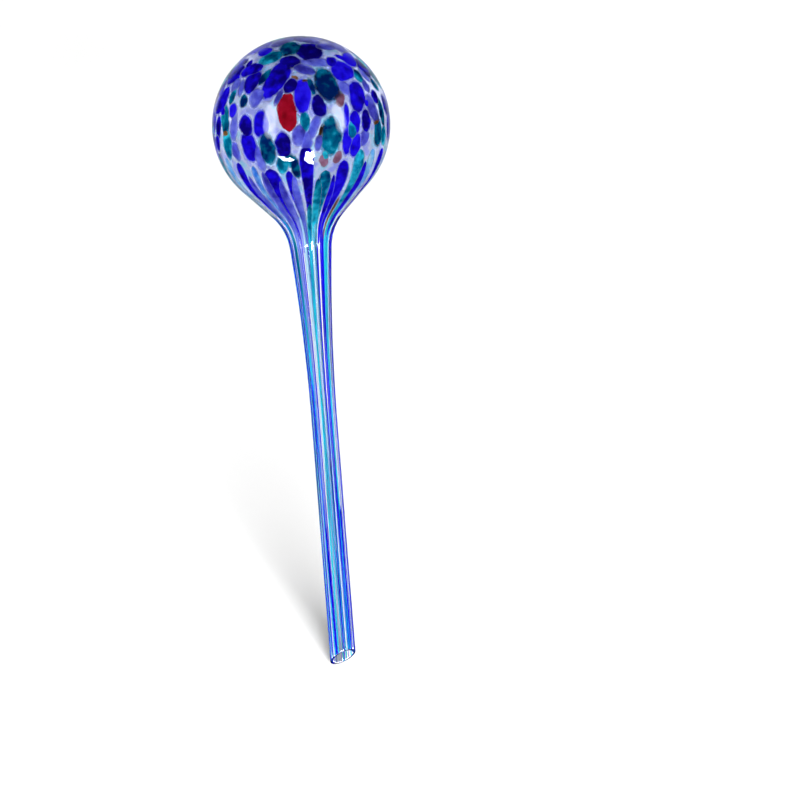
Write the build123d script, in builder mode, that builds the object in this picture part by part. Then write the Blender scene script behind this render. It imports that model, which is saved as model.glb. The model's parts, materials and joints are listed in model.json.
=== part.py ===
from build123d import *
from dataclasses import dataclass
from math import cos, pi, radians, sin, tan
import os

# A hand-blown watering globe. The bulb holds the water and the long hollow stem goes down into the soil.
# The wall is made in layers, as on the blowpipe. A clear liner is blown first. Chips of coloured glass
# are picked up on its skin, and the ones near the mouth are drawn out into canes along the stem.
# A clear casing is gathered over all of it, and the tip is cut on a slant.
# Frame: +Z up along the stem, front towards -Y, origin on the axis level with the lowest point of the tip.

# Outside shape, in mm and degrees
bulb_diameter = 82.0
bulb_height = 254.0        # centre of the bulb above the lowest point of the tip
stem_diameter = 12.0
stem_straight = 115.0      # stretch of the stem that keeps one diameter, from the tip up
draw_radius = 900.0        # long curve over which the stem widens towards the neck
neck_radius = 26.0
shoulder_angle = 44.0      # slope of the shoulder under the bulb, from the axis
tip_bevel = 36.0           # slant of the cut tip, from a square cut
tip_turn = 30.0            # side of the tip that is cut shortest, turned from the front to the right

# Thickness of each layer of the wall
bulb_casing = 0.8
bulb_colour = 0.8
bulb_liner = 0.9
stem_casing = 0.4
stem_colour = 0.5
stem_liner = 0.5

# Chips and canes
chip_gap = 0.3             # clear glass left between two chips
chip_shrink = 0.97         # step by which chips that crowd each other are made smaller
chip_sides = 8             # flats round the edge of a chip
head_swell = 1.08          # width of a cane's round head against the cane
panels = 3                 # times that the pattern of chips and canes goes round the globe
cutter_spare = 5.0         # length by which cutting bodies run past the glass

# One panel of chips: colour, latitude, turn from the panel's middle, length, width, lean to the right.
# All in degrees on the bulb, because chips stretch as the bulb is blown.
chip_panel = [
    ("teal", 71, -11, 16, 13, -8),
    ("cobalt", 65, 22, 20, 15, 23),
    ("violet", 66, 61, 13, 8, -70),
    ("teal", 61, -36, 15, 11, 50),
    ("cobalt", 57, -7, 13, 9, -78),
    ("cobalt", 49, -52, 16, 9, 64),
    ("cobalt", 52, 41, 8, 6, 53),
    ("violet", 49, 8, 12, 6, -63),
    ("cobalt", 43, 46, 18, 13, 69),
    ("cobalt", 42, -19, 25, 13, 24),
    ("cobalt", 40, -43, 14, 11, -5),
    ("cobalt", 37, -6, 10, 7, 24),
    ("violet", 36, -61, 12, 9, 20),
    ("teal", 35, 24, 22, 15, 4),
    ("violet", 31, 38, 9, 7, -8),
    ("cobalt", 30, 3, 20, 10, 2),
    ("violet", 29, -34, 11, 8, 4),
    ("teal", 28, -59, 12, 7, 3),
    ("plum", 24, 31, 11, 6, 19),
    ("cobalt", 23, 47, 18, 11, 30),
    ("cobalt", 21, 14, 12, 8, -5),
    ("cobalt", 19, -54, 8, 7, 0),
    ("red", 19, -9, 26, 13, 1),
    ("teal", 12, -62, 16, 8, -15),
    ("teal", 12, 3, 14, 6, 0),
    ("cobalt", 11, -28, 14, 9, -7),
    ("cobalt", 10, -40, 13, 9, -14),
    ("violet", 8, -51, 18, 6, 2),
    ("violet", 8, 9, 15, 5, 24),
    ("cobalt", 7, 39, 14, 7, 10),
    ("cobalt", 6, 49, 16, 8, 10),
    ("amber", 4, 13, 9, 2, 20),
    ("violet", 3, -2, 13, 8, 9),
    ("teal", 0, 20, 22, 11, 6),
    ("cobalt", -3, 32, 17, 7, 9),
    ("cobalt", -3, -13, 18, 10, -3),
    ("cobalt", -4, -38, 17, 11, -5),
    ("teal", -4, 61, 16, 8, 2),
    ("violet", -5, 46, 10, 8, 25),
    ("teal", -5, -24, 19, 9, -1),
    ("violet", -8, -51, 13, 8, -5),
    ("teal", -14, -10, 9, 7, 5),
    ("plum", -15, 24, 9, 6, 25),
    ("plum", -16, 14, 7, 5, 0),
]

# Each later panel has the same chips with some of the colours changed, so that no two sides look alike.
panel_colours = [
    {},
    {"red": "violet", "teal": "violet", "violet": "teal", "plum": "amber"},
    {"red": "teal", "violet": "cobalt", "amber": "plum"},
]

# One panel of canes from left to right: colour, latitude of the head, half width in degrees round the axis.
cane_panel = [
    ("cobalt", -18, 4.3),
    ("sky", -20, 3.0),
    ("cobalt", -22, 4.7),
    ("cobalt", -23, 3.2),
    ("cobalt", -8, 4.6),
    ("teal", -25, 3.6),
    ("cobalt", -21, 4.4),
    ("teal", -16, 4.6),
    ("sky", -17, 3.6),
]
cane_turn = 2.0            # turn of the panel's middle cane from the front

chip_colours = ["cobalt", "violet", "teal", "red", "plum", "amber"]
cane_colours = ["cobalt", "teal", "sky"]

# Sizes that follow from those above
bulb_radius = bulb_diameter / 2
stem_radius = stem_diameter / 2
bulb_centre = Vector(0, 0, bulb_height)
core_bulb_depth = bulb_casing + bulb_colour
core_stem_depth = stem_casing + stem_colour
colour_radius = bulb_radius - bulb_casing - bulb_colour / 2
cutter_radius = bulb_radius - core_bulb_depth - cutter_spare
cutter_reach = core_bulb_depth + 2 * cutter_spare
panel_turn = 360 / panels
cane_pitch = panel_turn / len(cane_panel)


def facing(latitude, turn):
    """Direction at a latitude of the bulb and at a turn from the front to the right."""
    level = cos(radians(latitude))
    return Vector(level * sin(radians(turn)), -level * cos(radians(turn)), sin(radians(latitude)))


def degrees_long(angle):
    """Length in mm of an arc of the colour layer on the bulb."""
    return radians(angle) * colour_radius


tip_up = facing(90 - tip_bevel, tip_turn + 180)
tip_plane = Plane(origin=(0, 0, stem_radius * tan(radians(tip_bevel))), z_dir=tip_up)


@dataclass
class Chip:
    """An oval chip on the colour layer, or the round head of a cane."""

    colour: str
    outward: Vector
    long_way: Vector
    length: float
    width: float

    def centre(self):
        """Middle of the chip, from the bulb's centre."""
        return self.outward * colour_radius

    def reach(self, direction):
        """How far the oval extends from its middle in a direction."""
        short_way = self.outward.cross(self.long_way)
        along = self.length / 2 * self.long_way.dot(direction)
        across = self.width / 2 * short_way.dot(direction)
        return (along**2 + across**2) ** 0.5

    def plane(self):
        """Plane under the chip, from which its outline is cut outwards."""
        origin = bulb_centre + self.outward * cutter_radius
        return Plane(origin=origin, x_dir=self.long_way, z_dir=self.outward)

    def corners(self):
        """Corners of the chip's outline, which is an oval with a few flats."""
        turns = [2 * pi * (side + 0.5) / chip_sides for side in range(chip_sides)]
        return [(self.length / 2 * cos(turn), self.width / 2 * sin(turn)) for turn in turns]


def lay_chip(colour, latitude, turn, length, width, lean):
    """Lay a chip on the bulb, with its long axis leaning from upright to the right."""
    outward = facing(latitude, turn)
    north = facing(latitude + 90, turn)
    long_way = north.rotate(Axis((0, 0, 0), outward), -lean)
    return Chip(colour, outward, long_way, degrees_long(length), degrees_long(width))


def clear_gap(one, other):
    """Clear glass between two chips: the best of several directions along the surface."""
    step = other.centre() - one.centre()
    along = step.normalized()
    across = (one.outward + other.outward).cross(along).normalized()
    gaps = []
    for turn in range(0, 180, 15):
        direction = along * cos(radians(turn)) + across * sin(radians(turn))
        gaps.append(abs(step.dot(direction)) - one.reach(direction) - other.reach(direction))
    return max(gaps)


def shrink(chip):
    """Make a chip one step smaller."""
    chip.length *= chip_shrink
    chip.width *= chip_shrink


def lay_all_chips():
    """Chips of every panel, where the panel's own colours hold."""
    laid = []
    for panel in range(panels):
        recolour = panel_colours[panel % len(panel_colours)]
        for colour, latitude, turn, length, width, lean in chip_panel:
            shade = recolour.get(colour, colour)
            laid.append(lay_chip(shade, latitude, turn + panel * panel_turn, length, width, lean))
    return laid


def lay_all_canes():
    """Each cane's colour, turn, half width and head latitude, all the way round."""
    laid = []
    for panel in range(panels):
        for place, (colour, latitude, half_width) in enumerate(cane_panel):
            turn = cane_turn + panel * panel_turn + (place - len(cane_panel) // 2) * cane_pitch
            laid.append((colour, turn, half_width, latitude))
    return laid


def cane_head(colour, turn, half_width, latitude):
    """Round head where a cane begins on the bulb, a little wider than the cane."""
    width = 2 * half_width * head_swell * cos(radians(latitude))
    return lay_chip(colour, latitude, turn, width, width, 0)


canes = lay_all_canes()
heads = [cane_head(*cane) for cane in canes]
chips = lay_all_chips()

# Chips that crowd a neighbour are made smaller until clear glass lies between them.
for number, chip in enumerate(chips):
    for head in heads:
        while clear_gap(chip, head) < chip_gap:
            shrink(chip)
    for other in chips[:number]:
        while clear_gap(chip, other) < chip_gap:
            shrink(chip)
            shrink(other)


def glass_body(bulb_depth, stem_depth):
    """All that lies inside the surface this deep under the outside, run on below the tip."""
    bulb_r = bulb_radius - bulb_depth
    stem_r = stem_radius - stem_depth
    draw_r = draw_radius + stem_depth
    neck_r = neck_radius + bulb_depth
    with BuildPart() as body:
        with BuildSketch(Plane.XZ) as section:
            with BuildLine():
                bulb = CenterArc((0, bulb_height), bulb_r, 90, -90 - shoulder_angle)
                slope = PolarLine(bulb @ 1, bulb_r, direction=bulb % 1, mode=Mode.PRIVATE)
                draw = CenterArc((stem_r + draw_r, stem_straight), draw_r, 180, slope)
                Polyline(draw @ 0, (stem_r, -cutter_spare), (0, -cutter_spare), bulb @ 0)
                Line(draw @ 1, bulb @ 1)
            make_face()
            neck_corner = section.vertices().sort_by_distance(draw @ 1)[0]
            fillet(neck_corner, neck_r)
        revolve(axis=Axis.Z)
    return body.part


outside = glass_body(0, 0)
under_casing = glass_body(bulb_casing, stem_casing)
core = glass_body(core_bulb_depth, core_stem_depth)
cavity = glass_body(core_bulb_depth + bulb_liner, core_stem_depth + stem_liner)


def chip_pockets(colour):
    """Pockets in the glass for the chips of one colour, open outwards."""
    with BuildPart() as pockets:
        for chip in chips:
            if chip.colour == colour:
                with BuildSketch(chip.plane()):
                    Polygon(*chip.corners(), align=None)
        extrude(amount=cutter_reach)
        add(core, mode=Mode.SUBTRACT)
    return pockets.part


def cane_pockets(colour):
    """Grooves in the glass for the canes of one colour, each a slice round the axis with a round head."""
    groove_start = stem_radius - core_stem_depth - stem_liner
    with BuildPart() as pockets:
        for cane, head in zip(canes, heads):
            if cane[0] != colour:
                continue
            turn, half_width, latitude = cane[1:]
            head_height = bulb_height + colour_radius * sin(radians(latitude))
            with BuildSketch(Plane.XZ.rotated((0, 0, turn - half_width - 90))):
                with BuildLine():
                    Polyline(
                        (groove_start, -cutter_spare),
                        (bulb_radius + cutter_spare, -cutter_spare),
                        (bulb_radius + cutter_spare, head_height),
                        (groove_start, head_height),
                        close=True,
                    )
                make_face()
            revolve(axis=Axis.Z, revolution_arc=2 * half_width)
            with BuildSketch(head.plane()):
                Polygon(*head.corners(), align=None)
            extrude(amount=cutter_reach)
        add(core, mode=Mode.SUBTRACT)
    return pockets.part


os.makedirs("parts", exist_ok=True)

with BuildPart() as clear_casing:
    add(outside)
    add(under_casing, mode=Mode.SUBTRACT)
    split(bisect_by=tip_plane, keep=Keep.TOP)
clear_casing.part.label = "clear_casing"
export_step(clear_casing.part, "parts/clear_casing.step")

colour_pockets = {f"{colour}_chips": chip_pockets(colour) for colour in chip_colours}
colour_pockets |= {f"{colour}_canes": cane_pockets(colour) for colour in cane_colours}

with BuildPart() as clear_liner:
    add(under_casing)
    add(cavity, mode=Mode.SUBTRACT)
    add(list(colour_pockets.values()), mode=Mode.SUBTRACT)
    split(bisect_by=tip_plane, keep=Keep.TOP)
clear_liner.part.label = "clear_liner"
export_step(clear_liner.part, "parts/clear_liner.step")

for name, pockets in colour_pockets.items():
    with BuildPart() as coloured_glass:
        add(pockets)
        add(under_casing, mode=Mode.INTERSECT)
        split(bisect_by=tip_plane, keep=Keep.TOP)
    coloured_glass.part.label = name
    export_step(coloured_glass.part, f"parts/{name}.step")
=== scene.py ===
"""Looks of a hand-blown watering globe: clear glass cased over colour chips and drawn canes."""

import json
from collections import namedtuple

import bpy
import numpy as np
from mathutils import Matrix, Vector


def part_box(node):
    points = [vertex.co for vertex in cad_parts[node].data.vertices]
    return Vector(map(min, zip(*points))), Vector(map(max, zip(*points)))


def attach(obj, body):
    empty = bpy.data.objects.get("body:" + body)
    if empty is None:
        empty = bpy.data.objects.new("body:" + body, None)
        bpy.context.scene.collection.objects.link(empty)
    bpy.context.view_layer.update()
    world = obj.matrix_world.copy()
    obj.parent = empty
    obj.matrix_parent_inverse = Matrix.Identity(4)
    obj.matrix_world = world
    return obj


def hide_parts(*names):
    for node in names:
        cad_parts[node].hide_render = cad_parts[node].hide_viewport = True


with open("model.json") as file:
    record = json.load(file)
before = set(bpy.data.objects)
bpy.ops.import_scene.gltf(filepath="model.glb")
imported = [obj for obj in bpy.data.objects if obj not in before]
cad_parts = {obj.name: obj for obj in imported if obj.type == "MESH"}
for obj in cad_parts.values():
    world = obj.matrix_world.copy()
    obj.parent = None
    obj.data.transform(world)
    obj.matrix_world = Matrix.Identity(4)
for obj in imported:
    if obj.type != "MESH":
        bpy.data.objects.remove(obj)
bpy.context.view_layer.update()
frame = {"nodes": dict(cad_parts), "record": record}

MM = 0.001
PATTERN_SEED = 7
rng = np.random.default_rng(PATTERN_SEED)

# Outside shape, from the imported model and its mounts
casing_low, casing_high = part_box("clear_casing")
mounts = {mount["name"]: mount["dims"] for mount in frame["record"]["mounts"]}
bulb_radius = (casing_high.y - casing_low.y) / 2
bulb_height = casing_high.z - bulb_radius
stem_radius = mounts["soil_stem"]["r_mm"] * MM
stem_straight = mounts["soil_stem"]["length_mm"] * MM
bore_radius = mounts["stem_bore"]["r_mm"] * MM
draw_radius = 900 * MM          # long curve from the neck to the straight stem
neck_radius = 26 * MM           # hollow curve under the shoulder
shoulder_angle = np.radians(44)  # how far below its middle the bulb turns into the shoulder's slope
tip_slope = np.tan(np.radians(36))
tip_turn = np.radians(30)       # side of the tip that is cut shortest, from the front to the right
rim_round = 0.35 * MM           # fire-polished rounding of the cut tip
front_turn = -90                # turn of the front round the axis, in degrees

# Depth of the layers under the outside, on the bulb and on the stem
wall_depth = (2.1 * MM, stem_radius - bore_radius)
colour_depth = (2.02 * MM, 0.65 * MM)
streak_depth = (1.6 * MM, 0.42 * MM)
layer_shift = 0.05 * MM         # a chip lies up to this much above or below its layer
chip_thickness = 0.2 * MM       # a chip is a flat drop with its rounded side outwards
chip_sag = 0.02 * MM            # bulge of its inner side
cane_thickness = 0.36 * MM

# Melted chips
chip_growth = 1.85              # width of a chip with its faint halo against its pocket in the model
red_growth = 1.5
body_edge = 0.72                # share of a chip's reach where its full colour ends and its halo begins
halo_edge = 0.88                # share of a chip's reach where its halo ends
# Number of waves round a chip's outline, and their height as a share of its reach
outline_waves = ((2, 0.05), (3, 0.05), (5, 0.03))

# Drawn glass
fully_drawn = 1 / 6             # distance from the axis, against the bulb's radius, where it is fully drawn
cane_swell = 0.12               # share by which it is wider at its head
cane_swell_run = 18 * MM        # run over which that dies away
# Run for each radian of a wave in its width, and the wave's height as a share of the width
cane_waves = ((21 * MM, 0.14), (9 * MM, 0.08))
cane_end = 1.6                  # length of a cane's rounded end against half the width of its head
streak_end = 9                  # the same for a thin streak
foot_cut = 0.25                 # share of the rounded end that is cut away at the foot
cane_turn = 2                   # turn of the middle cane of a panel from the front, in degrees
# Each cane of a panel from left to right: its width on the bulb against its groove in the model, the
# share of that width that is left on the stem, and its tone
cane_forms = [
    (1.5, 0.3, 0.6),
    (1.5, 0.5, 0.35),
    (2.2, 0.2, 0.4),
    (1.2, 0.1, 0.45),
    (1.7, 0.12, 0.3),
    (1.8, 0.2, 0.75),
    (1.6, 0.3, 0.6),
    (1.5, 0.7, 1.1),
    (1.5, 0.6, 0.9),
]

panel_turn = 120                # turn of one panel in degrees; the pattern goes round three times
# Specks of crushed glass between the chips, too small to have a pocket: colour, latitude, turn from
# the panel's middle, length, width and lean to the right, all in degrees
speck_panel = [
    ("violet", 82, 60, 16, 9, 0),
    ("violet", 54, 23, 18, 6, -76),
    ("cobalt", 52, 59, 7, 4, -33),
    ("teal", 44, -31, 12, 5, 30),
    ("amber", 43, -2, 4, 2, -60),
    ("amber", 40, 6, 3, 1.5, 84),
    ("violet", 35, -52, 9, 4, -16),
    ("teal", 35, 11, 10, 4, -8),
    ("violet", 30, -15, 12, 3, 24),
    ("teal", 26, -45, 7, 5, -19),
    ("cobalt", 17, 54, 4, 4, 0),
    ("cobalt", 12, 33, 12, 3, 12),
    ("amber", 3, -60, 5, 3, 83),
    ("teal", 2, 36, 9, 5, 0),
    ("violet", -1, 3, 10, 6, 4),
    ("violet", -3, 11, 8, 4, 14),
    ("cobalt", -9, 38, 13, 6, 13),
    ("violet", -12, -31, 15, 5, -5),
    ("teal", -13, 15, 6, 3, 0),
    ("teal", -19, -6, 13, 5, -8),
    ("teal", -17, -15, 10, 6, 15),
]

# Thin streaks drawn down the neck over the canes: colour, turn of the top from the front and turn from
# there to the foot, half width in degrees, height of the top and the foot in mm, tone
streaks = [
    ("cobalt", -70, 0, 7, 216, 0, 0.3),
    ("teal", -47, 12, 7, 222, 0, 0.85),
    ("violet", -45, 0, 6, 238, 205, 0.6),
    ("cobalt", -46, 18, 8, 140, 0, 0.5),
    ("sky", -44, 4, 5, 125, 0, 0.5),
    ("violet", -34, 0, 5, 224, 60, 0.7),
    ("violet", -31, 0, 6, 240, 205, 0.4),
    ("violet", -19, 0, 5, 236, 196, 0.5),
    ("sky", -14, 6, 4.5, 216, 0, 1.0),
    ("violet", -8, 0, 6, 238, 200, 0.7),
    ("teal", 3, -22, 6, 222, 0, 0.85),
    ("cobalt", 8, 0, 3, 62, 0, 0.5),
    ("teal", 10, 0, 7, 236, 200, 0.8),
    ("sky", 11, -4, 4.5, 216, 40, 1.0),
    ("teal", 12, 2, 4, 100, 0, 0.9),
    ("cobalt", 18, -4, 3.5, 200, 0, 0.4),
    ("sky", 22, 2, 4, 125, 0, 0.6),
    ("cobalt", 22, 0, 4, 237, 200, 0.5),
    ("cobalt", 34, 0, 4.5, 208, 0, 0.4),
    ("amber", 35, 0, 2.4, 226, 198, 0.5),
    ("cobalt", 46, 0, 6, 80, 0, 0.5),
    ("cobalt", 49, 0, 6, 240, 200, 0.5),
    ("teal", 52, -22, 6, 214, 0, 0.85),
    ("cobalt", 72, 0, 7, 216, 0, 0.2),
    ("teal", 118, 10, 8, 220, 0, 0.7),
    ("sky", 140, -8, 8, 214, 0, 0.9),
    ("cobalt", 165, 8, 5, 210, 0, 0.3),
    ("teal", 190, -12, 8, 216, 0, 0.8),
    ("sky", 215, 6, 9, 218, 0, 0.8),
    ("cobalt", 240, -8, 5, 206, 0, 0.35),
    ("violet", 262, 6, 7, 222, 0, 0.6),
]

# How dark or light some of the front chips are: latitude and turn in degrees, tone and the lighter end,
# which is 1 for the upper one
front_tones = [
    (71, -11, 0.25, 1),
    (65, 22, 0.0, 1),
    (42, -19, 0.4, -1),
    (37, -6, 0.0, 1),
    (35, 24, -0.15, 1),
    (30, 3, 1.0, 1),
    (23, 47, 0.45, 1),
    (11, -28, 0.55, 1),
    (0, 20, 0.5, -1),
    (-3, -13, 0.1, 1),
    (-4, -38, 0.45, 1),
    (-5, -24, 0.15, -1),
]
tone_reach = 2                  # a chip's middle lies within so many degrees of its place in the list

# Fineness of the meshes
turn_steps = 160
arc_steps = {"bulb": 72, "shoulder": 6, "neck": 18, "draw": 24, "stem": 28}
chip_turn_steps = 28
chip_rings = 9
ring_spread = 0.75              # below 1, a chip's rings lie closer together towards its rim
cane_sides = 14
rim_steps = 7
weld_digits = 6                 # points of the model that agree to a micrometre are one point

# Clear glass
glass_ior = 1.46
ripple_scale = 55               # ripples of the blown skin to the metre
ripple_detail = 1.5
ripple_strength = 0.12
ripple_height = 1 * MM
depth_tint = (0.2, 0.17, 0.6)   # lavender that shows along a lot of glass
depth_density = 40              # its strength, to the metre
cut_tint = (0.3, 0.27, 0.45)    # grey of the cut tip
liner_haze = 0.28               # roughness of the inner skin, which blurs what is seen through it
liner_milk = 0.5                # share of light that the bulb's inner skin scatters
# Under the bulb's middle, distances from the axis, against its radius, where milk begins and is full
milk_range = (0.2, 0.7)
liner_tint = (0.76, 0.84, 1.0)
blue_veil = (0.42, 0.48, 1.0)   # thin clouds of colour in the milky skin between the chips
teal_veil = (0.42, 0.84, 0.95)
veil_scale = 170                # clouds to the metre
veil_detail = 4
# Values of the cloud pattern where blue ends, the plain skin begins and ends, and teal begins
veil_stops = (0.4, 0.48, 0.54, 0.63)

# Coloured glass
cloud_scale = 260               # clouds to the metre
cloud_detail = 4
cloud_middle = 222 * MM         # height about which clouds are drawn out, in the neck
cloud_draw = 0.94               # share of the clouds down its length that fully drawn glass loses
grain_scale = 700
grain_detail = 2
grain_weight = 0.14             # how ragged the grain makes an edge
noise_middle = 0.5              # value that clouds and grain lie about
tone_weight = 0.7               # how much lighter tone, clouds, drawing out and a thin edge make the glass
cloud_weight = 2.0
drawn_weight = 0.32
edge_weight = 0.45
edge_power = 3                  # keeps the lighter edge close to the rim
shade_stops = (0, 0.5, 1)       # lightness of the deep, the body and the light colour
rind_blur = 0.06                # reach over which the edge colour takes over, to each side of body_edge
chip_roughness = 0.4
chip_colours = ("cobalt", "violet", "teal", "red", "plum", "amber")
cane_colours = ("cobalt", "teal", "sky")

# A closed skin of coloured glass. Each point has its nearness to the rim and to the lighter end, how far
# it is drawn out, and its tone.
Shell = namedtuple("Shell", "points faces rim along drawn tone")

# Four colours, for deep, middling and light glass and for the edge; the reach over which full colour
# turns into halo; how clear the glass is on the bulb and how much clearer where drawn; how much the body
# and the halo cover; and how much lighter one end is.
Glass = namedtuple("Glass", "deep body light edge edge_blur see_through drawn_clear cover halo end_shift")
cobalt_shades = ((0.004, 0.001, 0.17), (0.012, 0.003, 0.8), (0.03, 0.014, 1.0), (0.5, 0.55, 1.0))
violet_shades = ((0.05, 0.04, 0.5), (0.15, 0.16, 0.85), (0.33, 0.4, 1.0), (0.66, 0.72, 1.0))
teal_shades = ((0.0, 0.018, 0.13), (0.0, 0.25, 0.4), (0.03, 0.82, 0.95), (0.45, 0.86, 0.96))
red_shades = ((0.22, 0.002, 0.009), (0.34, 0.004, 0.017), (0.42, 0.008, 0.026), (0.1, 0.0, 0.01))
plum_shades = ((0.13, 0.045, 0.08), (0.29, 0.11, 0.17), (0.42, 0.2, 0.29), (0.66, 0.6, 0.75))
amber_shades = ((0.05, 0.015, 0.004), (0.2, 0.07, 0.016), (0.42, 0.2, 0.06), (0.5, 0.3, 0.2))
sky_shades = ((0.01, 0.2, 0.85), (0.14, 0.58, 1.0), (0.66, 0.95, 1.0), (0.75, 0.96, 1.0))
glasses = {
    "cobalt": Glass(*cobalt_shades, edge_blur=0.12, see_through=0.25, drawn_clear=0.1,
                    cover=1.0, halo=0.5, end_shift=0.1),
    "violet": Glass(*violet_shades, edge_blur=0.25, see_through=0.5, drawn_clear=0.2,
                    cover=0.75, halo=0.4, end_shift=0.15),
    "teal": Glass(*teal_shades, edge_blur=0.2, see_through=0.35, drawn_clear=0.25,
                  cover=0.95, halo=0.4, end_shift=0.3),
    "red": Glass(*red_shades, edge_blur=0.02, see_through=0.0, drawn_clear=0.0,
                 cover=1.0, halo=0.0, end_shift=0.05),
    "plum": Glass(*plum_shades, edge_blur=0.06, see_through=0.3, drawn_clear=0.0,
                  cover=1.0, halo=0.2, end_shift=0.1),
    "amber": Glass(*amber_shades, edge_blur=0.06, see_through=0.3, drawn_clear=0.0,
                   cover=1.0, halo=0.2, end_shift=0.1),
    "sky": Glass(*sky_shades, edge_blur=0.3, see_through=0.5, drawn_clear=0.3,
                 cover=0.75, halo=0.4, end_shift=0.2),
}

# Studio, in metres
floor_half = 12.0               # half the side of the floor, which fills the view
floor_grey = 0.5
floor_roughness = 0.9
# Light of the surroundings, by height from 0 straight down to 1 straight up
world_levels = ((0.4, 0.2), (0.5, 12), (0.675, 0.45), (1, 0.2))
key_turn = np.radians(4.3)      # from the front to the right
key_elevation = np.radians(5)
key_strength = 54
key_softness = np.radians(8)
card_distance = 1.2
# Upright cards that show as reflections: card, glow, direction from the bulb, width, height, radiance
upright_cards = [
    ("left_softbox", "left_glow", (-0.654, -0.745, 0.28), 0.42, 1.05, 11),
    ("right_softbox", "right_glow", (0.79, -0.6, 0.2), 0.4, 0.85, 10),
    ("back_card", "back_glow", (0.0, 0.99, 0.1), 1.9, 1.5, 0.5),
]
card_tint = (0.88, 0.95, 1)
card_fade = 3                   # higher keeps a card's fade closer to its edges
# Outlines of the two ragged glints low on the bulb, in units of their own
left_glint = [
    (-24, -5), (-8, -12), (2, -6), (12, -9), (22, 4),
    (26, 12), (8, 10), (-2, 4), (-12, 7), (-18, 0),
]
right_glint = [
    (-12, -24), (2, -22), (6, -14), (15, -10), (13, 16),
    (4, 22), (-6, 18), (-13, 22), (-16, 2), (-10, -6),
]
glint_distance = 1.6
glint_radiance = 40
# Cards that show as the glints: card, direction from the bulb, outline and the size of its unit
glint_cards = [
    ("low_left_card", (-0.328, -0.772, -0.545), left_glint, 9.6 * MM),
    ("low_right_card", (0.117, -0.83, -0.545), right_glint, 11.2 * MM),
]

# Camera: angles of the view, lens and sensor in mm, and the bulb's place and radius in the picture in pixels
camera_elevation = np.radians(10.6)
camera_roll = np.radians(4.45)
lens_length = 800
sensor = 36
picture_side = 800
bulb_place = (301.2, 125.0)
bulb_pixels = 89.3

glass_bounces = 24              # surfaces that light may pass
layer_bounces = 32              # see-through layers of colour that it may pass


def unit(vector):
    """The vector at length 1."""
    return vector / np.linalg.norm(vector)


def tip_height(x, y):
    """Height of the slanted cut at a place across the stem."""
    towards_short_side = x * np.sin(tip_turn) - y * np.cos(tip_turn)
    return tip_slope * (stem_radius + towards_short_side)


def layer_profile(bulb_depth, stem_depth):
    """Radius and height down a layer this deep under the outside, from the top to the straight stem."""
    bulb_r = bulb_radius - bulb_depth
    stem_r = stem_radius - stem_depth
    draw_r = draw_radius + stem_depth
    neck_r = neck_radius + bulb_depth
    bulb_centre = np.array([0, bulb_height])
    draw_centre = np.array([stem_r + draw_r, stem_straight])
    outwards = np.array([np.cos(shoulder_angle), -np.sin(shoulder_angle)])
    downhill = np.array([-np.sin(shoulder_angle), -np.cos(shoulder_angle)])
    shoulder_top = bulb_centre + bulb_r * outwards
    # The neck's centre lies beside the shoulder's slope and inside the circle of the draw.
    start = shoulder_top + neck_r * outwards - draw_centre
    half = start @ downhill
    run = -half - np.sqrt(half**2 - start @ start + (draw_r - neck_r) ** 2)
    if run < 0:
        run = -half + np.sqrt(half**2 - start @ start + (draw_r - neck_r) ** 2)
    neck_centre = shoulder_top + neck_r * outwards + run * downhill
    neck_end = unit(neck_centre - draw_centre)
    bulb_turns = np.linspace(np.pi / 2, -shoulder_angle, arc_steps["bulb"])
    slope_runs = np.linspace(0, run, arc_steps["shoulder"])[1:-1]
    neck_foot = np.arctan2(neck_end[1], neck_end[0])
    neck_turns = np.linspace(np.pi - shoulder_angle, neck_foot, arc_steps["neck"])
    draw_turns = np.linspace(neck_turns[-1], np.pi, arc_steps["draw"])[1:]
    pieces = [
        bulb_centre + bulb_r * np.column_stack([np.cos(bulb_turns), np.sin(bulb_turns)]),
        shoulder_top + np.outer(slope_runs, downhill),
        neck_centre + neck_r * np.column_stack([np.cos(neck_turns), np.sin(neck_turns)]),
        draw_centre + draw_r * np.column_stack([np.cos(draw_turns), np.sin(draw_turns)]),
    ]
    return np.vstack(pieces)


def mesh_object(name, points, faces, attributes):
    """A smooth mesh that rides on the globe, with a value for each point under each attribute's name."""
    mesh = bpy.data.meshes.new(name)
    mesh.from_pydata([tuple(point) for point in points], [], faces)
    mesh.shade_smooth()
    for label, values in attributes.items():
        attribute = mesh.attributes.new(label, "FLOAT", "POINT")
        attribute.data.foreach_set("value", np.asarray(values, np.float32))
    mesh.update()
    piece = bpy.data.objects.new(name, mesh)
    bpy.context.scene.collection.objects.link(piece)
    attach(piece, "root")
    return piece


def ring_faces(first, second, steps):
    """Faces between two closed rings of points, given by the number of each ring's first point."""
    faces = []
    for step in range(steps):
        after = (step + 1) % steps
        faces.append((first + step, second + step, second + after, first + after))
    return faces


def cap_faces(pole, ring, steps, flip=False):
    """Triangles from a pole to a closed ring of points."""
    faces = []
    for step in range(steps):
        corner = ring + step
        after = ring + (step + 1) % steps
        faces.append((pole, after, corner) if flip else (pole, corner, after))
    return faces


def wall_ring(across, radius, heights):
    """One ring of the wall, level or with a height for each point."""
    return np.column_stack([radius * across, np.broadcast_to(heights, len(across))])


def stem_rings(across, radius):
    """Rings down the straight stem, which lean more and more until they follow the slanted cut."""
    end = tip_height(*(radius * across.T)) + rim_round
    shares = np.linspace(0, 1, arc_steps["stem"])[1:]
    return [wall_ring(across, radius, stem_straight + share * (end - stem_straight)) for share in shares]


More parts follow.
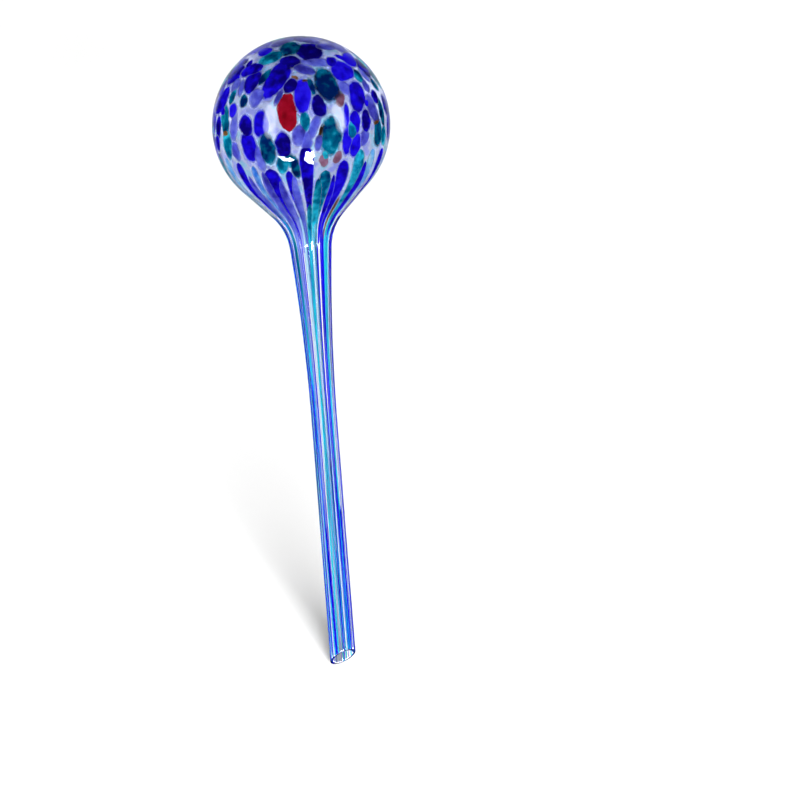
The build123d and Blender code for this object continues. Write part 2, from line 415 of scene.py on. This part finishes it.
def tip_rings(across):
    """Rings over the cut of the tip, which is flat with rounded edges, from outside to inside."""
    rings = []
    for turn in np.linspace(0, np.pi, rim_steps + 2)[1:-1]:
        outwards = np.sign(np.cos(turn)) * np.sqrt(abs(np.cos(turn)))
        radius = (stem_radius + bore_radius) / 2 + (stem_radius - bore_radius) / 2 * outwards
        drop = rim_round * (1 - np.sqrt(np.sin(turn)))
        rings.append(wall_ring(across, radius, tip_height(*(radius * across.T)) + drop))
    return rings


def glass_wall():
    """The clear wall as one closed skin: outside, cut tip and inside."""
    turns = np.linspace(0, 2 * np.pi, turn_steps, endpoint=False)
    across = np.column_stack([np.cos(turns), np.sin(turns)])
    outside = layer_profile(0, 0)
    inside = layer_profile(*wall_depth)
    outer = [wall_ring(across, radius, height) for radius, height in outside[1:]]
    outer += stem_rings(across, stem_radius) + tip_rings(across)
    inner = [wall_ring(across, radius, height) for radius, height in inside[1:]]
    inner += stem_rings(across, bore_radius)
    rings = outer + inner[::-1]
    points = np.vstack([[0, 0, outside[0][1]], *rings, [0, 0, inside[0][1]]])
    starts = [1 + turn_steps * number for number in range(len(rings))]
    faces = cap_faces(0, starts[0], turn_steps)
    for first, second in zip(starts, starts[1:]):
        faces += ring_faces(first, second, turn_steps)
    faces += cap_faces(len(points) - 1, starts[-1], turn_steps, flip=True)
    is_inside = np.arange(len(points)) > turn_steps * len(outer)
    wideness = np.hypot(points[:, 0], points[:, 1]) / bulb_radius
    starts_at, full_at = milk_range
    below_middle = np.clip((wideness - starts_at) / (full_at - starts_at), 0, 1)
    milky = np.where(points[:, 2] > bulb_height, 1, below_middle)
    ring_number = (np.arange(len(points)) - 1) // turn_steps
    on_cut = (ring_number >= len(outer) - rim_steps) & (ring_number < len(outer))
    wall = mesh_object("glass_wall", points, faces, {"milk": is_inside * milky, "cut": on_cut})
    wall.data.materials.append(clear_glass())
    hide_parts("clear_casing", "clear_liner")


def solids(node):
    """Points of each separate solid of a CAD node."""
    mesh = frame["nodes"][node].data
    points = np.array([vertex.co for vertex in mesh.vertices])
    edges = np.array([edge.vertices for edge in mesh.edges])
    places, index = np.unique(points.round(weld_digits), axis=0, return_inverse=True)
    first, second = index.ravel()[edges].T
    label = np.arange(len(places))
    while True:
        lowest = label.copy()
        np.minimum.at(lowest, first, label[second])
        np.minimum.at(lowest, second, label[first])
        if (lowest == label).all():
            break
        label = lowest
    return [places[label == mark] for mark in np.unique(label)]


def lens(outward, long_way, half_length, half_width):
    """A flat drop of glass melted into the bulb's wall, with an uneven outline."""
    short_way = np.cross(outward, long_way)
    turns = np.linspace(0, 2 * np.pi, chip_turn_steps, endpoint=False)
    reach = 1 / np.hypot(np.cos(turns) / half_length, np.sin(turns) / half_width)
    for waves, height in outline_waves:
        reach *= 1 + height * np.sin(waves * turns + rng.uniform(0, 2 * np.pi))
    sideways = np.outer(np.cos(turns), long_way) + np.outer(np.sin(turns), short_way)
    latitude, turn = np.degrees([np.arcsin(outward[2]), np.arctan2(outward[0], -outward[1])])
    tone = rng.uniform(0, 1)
    lighter_end = rng.choice([-1, 1])
    for noted_latitude, noted_turn, noted_tone, noted_end in front_tones:
        if np.hypot(latitude - noted_latitude, turn - noted_turn) < tone_reach:
            tone = noted_tone
            lighter_end = noted_end
    lengthways = np.cos(turns) * reach / half_length * np.sign(long_way[2]) * lighter_end
    base = bulb_radius - colour_depth[0] + rng.uniform(-layer_shift, layer_shift)
    points = [(base + chip_thickness) * outward]
    rim = [0.0]
    along = [0.0]
    for step in np.linspace(0, np.pi, chip_rings + 2)[1:-1]:
        share = np.sin(step) ** ring_spread
        rise = (chip_thickness if step < np.pi / 2 else -chip_sag) * (1 - share**2)
        angles = (share * reach / base)[:, None]
        points.extend((base + rise) * (np.cos(angles) * outward + np.sin(angles) * sideways))
        rim.extend([share] * chip_turn_steps)
        along.extend(share * lengthways)
    points.append((base - chip_sag) * outward)
    rim.append(0.0)
    along.append(0.0)
    starts = [1 + chip_turn_steps * number for number in range(chip_rings)]
    faces = cap_faces(0, starts[0], chip_turn_steps)
    for first, second in zip(starts, starts[1:]):
        faces += ring_faces(first, second, chip_turn_steps)
    faces += cap_faces(len(points) - 1, starts[-1], chip_turn_steps, flip=True)
    points = np.array([0, 0, bulb_height]) + np.array(points)
    return Shell(points, faces, rim, along, np.zeros(len(points)), np.full(len(points), tone))


def melted_chip(points, growth):
    """A chip that has melted into the wall where the CAD's chip lies."""
    outward = unit(points.mean(axis=0) - [0, 0, bulb_height])
    east = unit(np.cross([0, 0, 1], outward))
    north = np.cross(outward, east)
    flat = (points - points.mean(axis=0)) @ np.column_stack([east, north])
    ways = np.linalg.eigh(np.cov(flat.T))[1]
    half_width, half_length = growth * np.ptp(flat @ ways, axis=0) / 2
    long_way = ways[0, 1] * east + ways[1, 1] * north
    return lens(outward, long_way, half_length, half_width)


def speck(latitude, turn, length, width, lean):
    """A speck of crushed glass at a place on the bulb."""
    latitude, turn, length, width, lean = np.radians([latitude, turn, length, width, lean])
    east = np.array([np.cos(turn), np.sin(turn), 0])
    front = np.array([np.sin(turn), -np.cos(turn), 0])
    outward = np.cos(latitude) * front + np.array([0, 0, np.sin(latitude)])
    north = np.cross(outward, east)
    long_way = np.cos(lean) * north + np.sin(lean) * east
    half = chip_growth * (bulb_radius - colour_depth[0]) / 2
    return lens(outward, long_way, half * length, half * width)


def drawn_streak(turn, half_turn, top, foot, depth, end_ratio, tone, stem_share=1, drift=0):
    """Glass drawn out down the wall at a turn round the axis, from a round head to a foot."""
    path = layer_profile(*depth)
    straight = np.linspace(stem_straight, 0, arc_steps["stem"])[1:]
    path = np.vstack([path, np.column_stack([np.full(len(straight), path[-1, 0]), straight])])
    heights = np.concatenate([path[:, 1][(path[:, 1] < top) & (path[:, 1] > foot)], [foot]])
    path = np.column_stack([np.interp(-heights, -path[:, 1], path[:, 0]), heights])
    run = np.concatenate([[0], np.cumsum(np.hypot(*np.diff(path, axis=0).T))])
    slope = np.gradient(path, axis=0)
    normal = np.column_stack([-slope[:, 1], slope[:, 0]]) / np.hypot(*slope.T)[:, None]
    end_length = end_ratio * half_turn * path[0, 0]
    from_end = np.minimum(run, run[-1] - run + foot_cut * end_length)
    end_share = np.sqrt(1 - (1 - np.clip(from_end / end_length, 0, 1)) ** 2)
    widths = half_turn * end_share * (1 + cane_swell * np.exp(-run / cane_swell_run))
    for radian_run, height in cane_waves:
        widths *= 1 + height * np.sin(run / radian_run + rng.uniform(0, 2 * np.pi))
    drawn = np.clip((1 - path[:, 0] / bulb_radius) / (1 - fully_drawn), 0, 1)
    widths *= 1 - (1 - stem_share) * drawn
    thick = cane_thickness / 2 * np.sqrt(end_share)
    sides = np.linspace(0, 2 * np.pi, cane_sides, endpoint=False)
    points = []
    for place, (radius, height) in enumerate(path):
        around = turn + drift * run[place] / run[-1] - widths[place] * np.cos(sides)
        rise = thick[place] * np.sin(sides)
        radii = radius + normal[place, 0] * rise
        heights = height + normal[place, 1] * rise
        points.extend(np.column_stack([radii * np.cos(around), radii * np.sin(around), heights]))
    rim = np.tile(abs(np.cos(sides)), len(path))
    along = np.repeat(np.linspace(-1, 1, len(path)), cane_sides)
    drawn = np.repeat(drawn, cane_sides)
    starts = [cane_sides * number for number in range(len(path))]
    faces = [tuple(range(cane_sides))]
    for first, second in zip(starts, starts[1:]):
        faces += ring_faces(first, second, cane_sides)
    faces.append(tuple(reversed(range(starts[-1], starts[-1] + cane_sides))))
    return Shell(np.array(points), faces, rim, along, drawn, np.full(len(points), tone))


def drawn_cane(points):
    """A chip near the mouth that was drawn out, from a round head on the bulb down to the tip."""
    low = points[points[:, 2] < stem_straight]
    turn = np.arctan2(low[:, 1].mean(), low[:, 0].mean())
    offsets = (np.arctan2(low[:, 1], low[:, 0]) - turn + np.pi) % (2 * np.pi) - np.pi
    pitch = panel_turn / len(cane_forms)
    place = round((np.degrees(turn) - front_turn - cane_turn) / pitch) + len(cane_forms) // 2
    growth, stem_share, tone = cane_forms[place % len(cane_forms)]
    half_turn = growth * np.abs(offsets).max()
    top = points[:, 2].max()
    return drawn_streak(turn, half_turn, top, cut_foot(turn), colour_depth, cane_end, tone, stem_share)


def cut_foot(turn):
    """Height at which drawn glass ends at the slanted cut, at a turn round the axis."""
    layer_radius = stem_radius - colour_depth[1]
    return tip_height(layer_radius * np.cos(turn), layer_radius * np.sin(turn)) + rim_round


def extra_streaks(colour):
    """The thin streaks of one colour."""
    shells = []
    for streak_colour, turn, drift, half_width, top, foot, tone in streaks:
        if streak_colour == colour:
            around, drift, half_turn = np.radians([turn + front_turn, drift, half_width])
            end = max(foot * MM, cut_foot(around + drift))
            shell = drawn_streak(
                around, half_turn, top * MM, end, streak_depth, streak_end, tone, drift=drift
            )
            shells.append(shell)
    return shells


def coloured_glass(node, shells, material):
    """One mesh of all the melted glass that stands for a CAD node."""
    starts = np.cumsum([0] + [len(shell.points) for shell in shells])
    points = np.vstack([shell.points for shell in shells])
    faces = []
    for start, shell in zip(starts, shells):
        faces += [tuple(int(start) + corner for corner in face) for face in shell.faces]
    attributes = {
        "rim": np.concatenate([shell.rim for shell in shells]),
        "along": np.concatenate([shell.along for shell in shells]),
        "drawn": np.concatenate([shell.drawn for shell in shells]),
        "tone": np.concatenate([shell.tone for shell in shells]),
    }
    piece = mesh_object("melted_" + node, points, faces, attributes)
    piece.data.materials.append(material)
    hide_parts(node)


def node_tree(name):
    """A new material with its nodes, links and shader."""
    material = bpy.data.materials.new(name)
    material.use_nodes = True
    nodes = material.node_tree.nodes
    return material, nodes, material.node_tree.links, nodes["Principled BSDF"]


def feed(links, socket, value):
    """Gives a socket another node's output, or a number or a colour of its own."""
    if isinstance(value, bpy.types.NodeSocket):
        links.new(value, socket)
    else:
        socket.default_value = value


def math_node(nodes, links, operation, first, second):
    """The output of an operation on two values, each an output or a number."""
    node = nodes.new("ShaderNodeMath")
    node.operation = operation
    feed(links, node.inputs[0], first)
    feed(links, node.inputs[1], second)
    return node.outputs["Value"]


def mix_node(nodes, links, share, first, second):
    """The output of a mix of two colours, each an output or a colour."""
    node = nodes.new("ShaderNodeMix")
    node.data_type = "RGBA"
    links.new(share, node.inputs["Factor"])
    feed(links, node.inputs["A"], first)
    feed(links, node.inputs["B"], second)
    return node.outputs["Result"]


def ramp_node(nodes, links, value, stops):
    """The output of a colour that changes with a value, between stops of a place and a colour each."""
    node = nodes.new("ShaderNodeValToRGB")
    first, *others, last = stops
    for element, (place, colour) in zip(node.color_ramp.elements, (first, last)):
        element.position = place
        element.color = (*colour, 1)
    for place, colour in others:
        node.color_ramp.elements.new(place).color = (*colour, 1)
    links.new(value, node.inputs["Fac"])
    return node.outputs["Color"]


def grey(level):
    """The colour with one level in all its channels."""
    return (level, level, level)


def attribute_node(nodes, name):
    """The output of a value kept for each point of the mesh."""
    node = nodes.new("ShaderNodeAttribute")
    node.attribute_name = name
    return node.outputs["Fac"]


def noise_node(nodes, links, scale, detail, stretch=None):
    """The output of clouds fixed to the piece, so many to the metre, or fewer where they are stretched."""
    place = nodes.new("ShaderNodeTexCoord").outputs["Object"]
    if stretch:
        raised = nodes.new("ShaderNodeVectorMath")
        raised.operation = "SUBTRACT"
        raised.inputs[1].default_value = (0, 0, cloud_middle)
        links.new(place, raised.inputs[0])
        stretched = nodes.new("ShaderNodeVectorMath")
        stretched.operation = "MULTIPLY"
        links.new(raised.outputs["Vector"], stretched.inputs[0])
        links.new(stretch, stretched.inputs[1])
        place = stretched.outputs["Vector"]
    noise = nodes.new("ShaderNodeTexNoise")
    noise.inputs["Scale"].default_value = scale
    noise.inputs["Detail"].default_value = detail
    links.new(place, noise.inputs["Vector"])
    return noise.outputs["Fac"]


def clear_glass():
    """Clear blown glass, milky inside the bulb, grey on the cut and with some lavender in its depth."""
    material, nodes, links, shader = node_tree("clear_glass")
    milk = attribute_node(nodes, "milk")
    veils = noise_node(nodes, links, veil_scale, veil_detail)
    veil_colours = (blue_veil, liner_tint, liner_tint, teal_veil)
    inner_colour = ramp_node(nodes, links, veils, zip(veil_stops, veil_colours))
    outer_colour = mix_node(nodes, links, attribute_node(nodes, "cut"), (1, 1, 1, 1), (*cut_tint, 1))
    links.new(mix_node(nodes, links, milk, outer_colour, inner_colour), shader.inputs["Base Color"])
    links.new(math_node(nodes, links, "MULTIPLY", milk, liner_haze), shader.inputs["Roughness"])
    shader.inputs["IOR"].default_value = glass_ior
    scattered = math_node(nodes, links, "MULTIPLY", milk, liner_milk)
    links.new(math_node(nodes, links, "SUBTRACT", 1, scattered), shader.inputs["Transmission Weight"])
    bump = nodes.new("ShaderNodeBump")
    bump.inputs["Strength"].default_value = ripple_strength
    bump.inputs["Distance"].default_value = ripple_height
    links.new(noise_node(nodes, links, ripple_scale, ripple_detail), bump.inputs["Height"])
    links.new(bump.outputs["Normal"], shader.inputs["Normal"])
    absorption = nodes.new("ShaderNodeVolumeAbsorption")
    absorption.inputs["Color"].default_value = (*depth_tint, 1)
    absorption.inputs["Density"].default_value = depth_density
    links.new(absorption.outputs["Volume"], nodes["Material Output"].inputs["Volume"])
    return material


def chip_glass(name, glass):
    """Coloured glass with clouds in it, which thins out into a faint halo past a chip's edge."""
    material, nodes, links, shader = node_tree(name)
    rim = attribute_node(nodes, "rim")
    drawn = attribute_node(nodes, "drawn")
    # Clouds are drawn out lengthways with the glass.
    stretch = nodes.new("ShaderNodeCombineXYZ")
    stretch.inputs["X"].default_value = 1
    stretch.inputs["Y"].default_value = 1
    shortened = math_node(nodes, links, "MULTIPLY", drawn, cloud_draw)
    links.new(math_node(nodes, links, "SUBTRACT", 1, shortened), stretch.inputs["Z"])
    cloud_noise = noise_node(nodes, links, cloud_scale, cloud_detail, stretch.outputs["Vector"])
    clouds = math_node(nodes, links, "SUBTRACT", cloud_noise, noise_middle)
    grain_noise = noise_node(nodes, links, grain_scale, grain_detail)
    grain = math_node(nodes, links, "SUBTRACT", grain_noise, noise_middle)

    lighter = [
        (attribute_node(nodes, "tone"), tone_weight),
        (attribute_node(nodes, "along"), glass.end_shift),
        (clouds, cloud_weight),
        (drawn, drawn_weight),
        (math_node(nodes, links, "POWER", rim, edge_power), edge_weight),
    ]
    shares = [math_node(nodes, links, "MULTIPLY", value, weight) for value, weight in lighter]
    lightness = shares[0]
    for share in shares[1:]:
        lightness = math_node(nodes, links, "ADD", lightness, share)
    shades = zip(shade_stops, (glass.deep, glass.body, glass.light))
    body_colour = ramp_node(nodes, links, lightness, shades)

    ragged = math_node(nodes, links, "ADD", rim, math_node(nodes, links, "MULTIPLY", grain, grain_weight))
    rind = nodes.new("ShaderNodeMapRange")
    rind.interpolation_type = "SMOOTHSTEP"
    rind.inputs["From Min"].default_value = body_edge - rind_blur
    rind.inputs["From Max"].default_value = body_edge + rind_blur
    links.new(ragged, rind.inputs["Value"])
    edged = mix_node(nodes, links, rind.outputs["Result"], body_colour, (*glass.edge, 1))
    links.new(edged, shader.inputs["Base Color"])
    covers = [
        (body_edge - glass.edge_blur, grey(glass.cover)),
        (body_edge, grey(glass.halo)),
        (halo_edge, grey(0)),
    ]
    links.new(ramp_node(nodes, links, ragged, covers), shader.inputs["Alpha"])

    # The colour has no surface of its own inside the clear wall.
    shader.inputs["Roughness"].default_value = chip_roughness
    shader.inputs["IOR"].default_value = 1.0
    shader.inputs["Specular IOR Level"].default_value = 0.0
    clearer = math_node(nodes, links, "MULTIPLY", drawn, glass.drawn_clear)
    clearness = math_node(nodes, links, "ADD", clearer, glass.see_through)
    links.new(clearness, shader.inputs["Transmission Weight"])
    return material


def add_floor():
    """A pale floor that the globe's tip stands on, large enough to fill the view."""
    mesh = bpy.data.meshes.new("floor")
    corners = [(x, y, 0) for x, y in rectangle(2 * floor_half, 2 * floor_half)]
    mesh.from_pydata(corners, [], [(0, 1, 2, 3)])
    floor = bpy.data.objects.new("floor", mesh)
    bpy.context.scene.collection.objects.link(floor)
    material, _, _, shader = node_tree("pale_floor")
    shader.inputs["Base Color"].default_value = (*grey(floor_grey), 1)
    shader.inputs["Roughness"].default_value = floor_roughness
    shader.inputs["Specular IOR Level"].default_value = 0.0
    mesh.materials.append(material)
    floor.visible_glossy = False


def add_world():
    """Soft light from all round, strongest from the level and weak from above and below."""
    world = bpy.data.worlds.new("studio")
    world.use_nodes = True
    nodes = world.node_tree.nodes
    links = world.node_tree.links
    place = nodes.new("ShaderNodeTexCoord")
    parts = nodes.new("ShaderNodeSeparateXYZ")
    links.new(place.outputs["Generated"], parts.inputs["Vector"])
    upward = nodes.new("ShaderNodeMapRange")
    upward.inputs["From Min"].default_value = -1.0
    links.new(parts.outputs["Z"], upward.inputs["Value"])
    stops = [(height, grey(level)) for height, level in world_levels]
    light = ramp_node(nodes, links, upward.outputs["Result"], stops)
    links.new(light, nodes["Background"].inputs["Color"])
    world.cycles_visibility.glossy = False
    bpy.context.scene.world = world


def add_card(name, direction, distance, outline, glow):
    """A flat card that faces the bulb and shows only as a reflection in its glass."""
    bulb = Vector((0, 0, bulb_height))
    mesh = bpy.data.meshes.new(name)
    mesh.from_pydata([(x, y, 0) for x, y in outline], [], [tuple(range(len(outline)))])
    mesh.materials.append(glow)
    card = bpy.data.objects.new(name, mesh)
    card.location = bulb + distance * Vector(direction).normalized()
    card.rotation_euler = (bulb - card.location).to_track_quat("Z", "Y").to_euler()
    card.visible_camera = False
    card.visible_diffuse = False
    card.visible_transmission = False
    card.visible_shadow = False
    bpy.context.scene.collection.objects.link(card)


def even_glow(name, radiance):
    """A material that only gives off light."""
    material, _, _, shader = node_tree(name)
    shader.inputs["Base Color"].default_value = (0, 0, 0, 1)
    shader.inputs["Specular IOR Level"].default_value = 0.0
    shader.inputs["Emission Color"].default_value = (*card_tint, 1)
    shader.inputs["Emission Strength"].default_value = radiance
    return material


def soft_glow(name, radiance):
    """A glow that fades towards the edges of an upright card."""
    material = even_glow(name, radiance)
    nodes = material.node_tree.nodes
    links = material.node_tree.links
    place = nodes.new("ShaderNodeTexCoord")
    parts = nodes.new("ShaderNodeSeparateXYZ")
    links.new(place.outputs["Generated"], parts.inputs["Vector"])
    powers = []
    for axis in ("X", "Y"):
        doubled = math_node(nodes, links, "MULTIPLY", parts.outputs[axis], 2)
        centred = math_node(nodes, links, "SUBTRACT", doubled, 1)
        from_middle = math_node(nodes, links, "ABSOLUTE", centred, 0)
        powers.append(math_node(nodes, links, "POWER", from_middle, card_fade))
    fade = nodes.new("ShaderNodeMapRange")
    fade.interpolation_type = "SMOOTHSTEP"
    fade.inputs["To Min"].default_value = radiance
    fade.inputs["To Max"].default_value = 0.0
    links.new(math_node(nodes, links, "ADD", *powers), fade.inputs["Value"])
    links.new(fade.outputs["Result"], nodes["Principled BSDF"].inputs["Emission Strength"])
    return material


def rectangle(width, height):
    """Corners of a rectangle about its middle."""
    x = width / 2
    y = height / 2
    return [(-x, -y), (x, -y), (x, y), (-x, y)]


def add_key():
    """The key light, from the front and a little to the right, for the soft shadow behind the globe."""
    light = bpy.data.lights.new("key", "SUN")
    light.energy = key_strength
    light.angle = key_softness
    lamp = bpy.data.objects.new("key", light)
    level = np.cos(key_elevation)
    towards = Vector((level * np.sin(key_turn), -level * np.cos(key_turn), np.sin(key_elevation)))
    lamp.rotation_euler = towards.to_track_quat("Z", "Y").to_euler()
    lamp.visible_glossy = False
    lamp.visible_transmission = False
    bpy.context.scene.collection.objects.link(lamp)


def add_camera():
    """A long lens at the photographed angle. The globe leans in the picture, with its foot to the right."""
    scale = bulb_radius / bulb_pixels
    distance = scale * picture_side * lens_length / sensor
    back = Vector((0, -np.cos(camera_elevation), np.sin(camera_elevation)))
    level_up = Vector((0, np.sin(camera_elevation), np.cos(camera_elevation)))
    level_right = Vector((1, 0, 0))
    up = level_up * np.cos(camera_roll) + level_right * np.sin(camera_roll)
    right = level_right * np.cos(camera_roll) - level_up * np.sin(camera_roll)
    aim = Vector((0, 0, bulb_height))
    aim += right * (picture_side / 2 - bulb_place[0]) * scale
    aim -= up * (picture_side / 2 - bulb_place[1]) * scale
    data = bpy.data.cameras.new("camera")
    data.lens = lens_length
    data.sensor_width = sensor
    camera = bpy.data.objects.new("camera", data)
    turned = Matrix((right, up, back)).transposed()
    camera.matrix_world = Matrix.Translation(aim + back * distance) @ turned.to_4x4()
    bpy.context.scene.collection.objects.link(camera)
    bpy.context.scene.camera = camera


glass_wall()
materials = {colour: chip_glass(f"{colour}_glass", glass) for colour, glass in glasses.items()}
for colour in chip_colours:
    growth = red_growth if colour == "red" else chip_growth
    shells = [melted_chip(solid, growth) for solid in solids(f"{colour}_chips")]
    for speck_colour, latitude, turn, *sizes in speck_panel:
        if speck_colour == colour:
            shells += [speck(latitude, turn + start, *sizes) for start in range(0, 360, panel_turn)]
    if colour not in cane_colours:
        shells += extra_streaks(colour)
    coloured_glass(f"{colour}_chips", shells, materials[colour])
for colour in cane_colours:
    shells = [drawn_cane(solid) for solid in solids(f"{colour}_canes")] + extra_streaks(colour)
    coloured_glass(f"{colour}_canes", shells, materials[colour])

add_floor()
add_world()
for name, glow, direction, width, height, radiance in upright_cards:
    add_card(name, direction, card_distance, rectangle(width, height), soft_glow(glow, radiance))
glint_glow = even_glow("glint_glow", glint_radiance)
for name, direction, outline, glint_unit in glint_cards:
    add_card(name, direction, glint_distance, np.array(outline) * glint_unit, glint_glow)
add_key()
add_camera()

scene = bpy.context.scene
scene.view_settings.view_transform = "Standard"
scene.cycles.max_bounces = glass_bounces
scene.cycles.transmission_bounces = glass_bounces
scene.cycles.transparent_max_bounces = layer_bounces
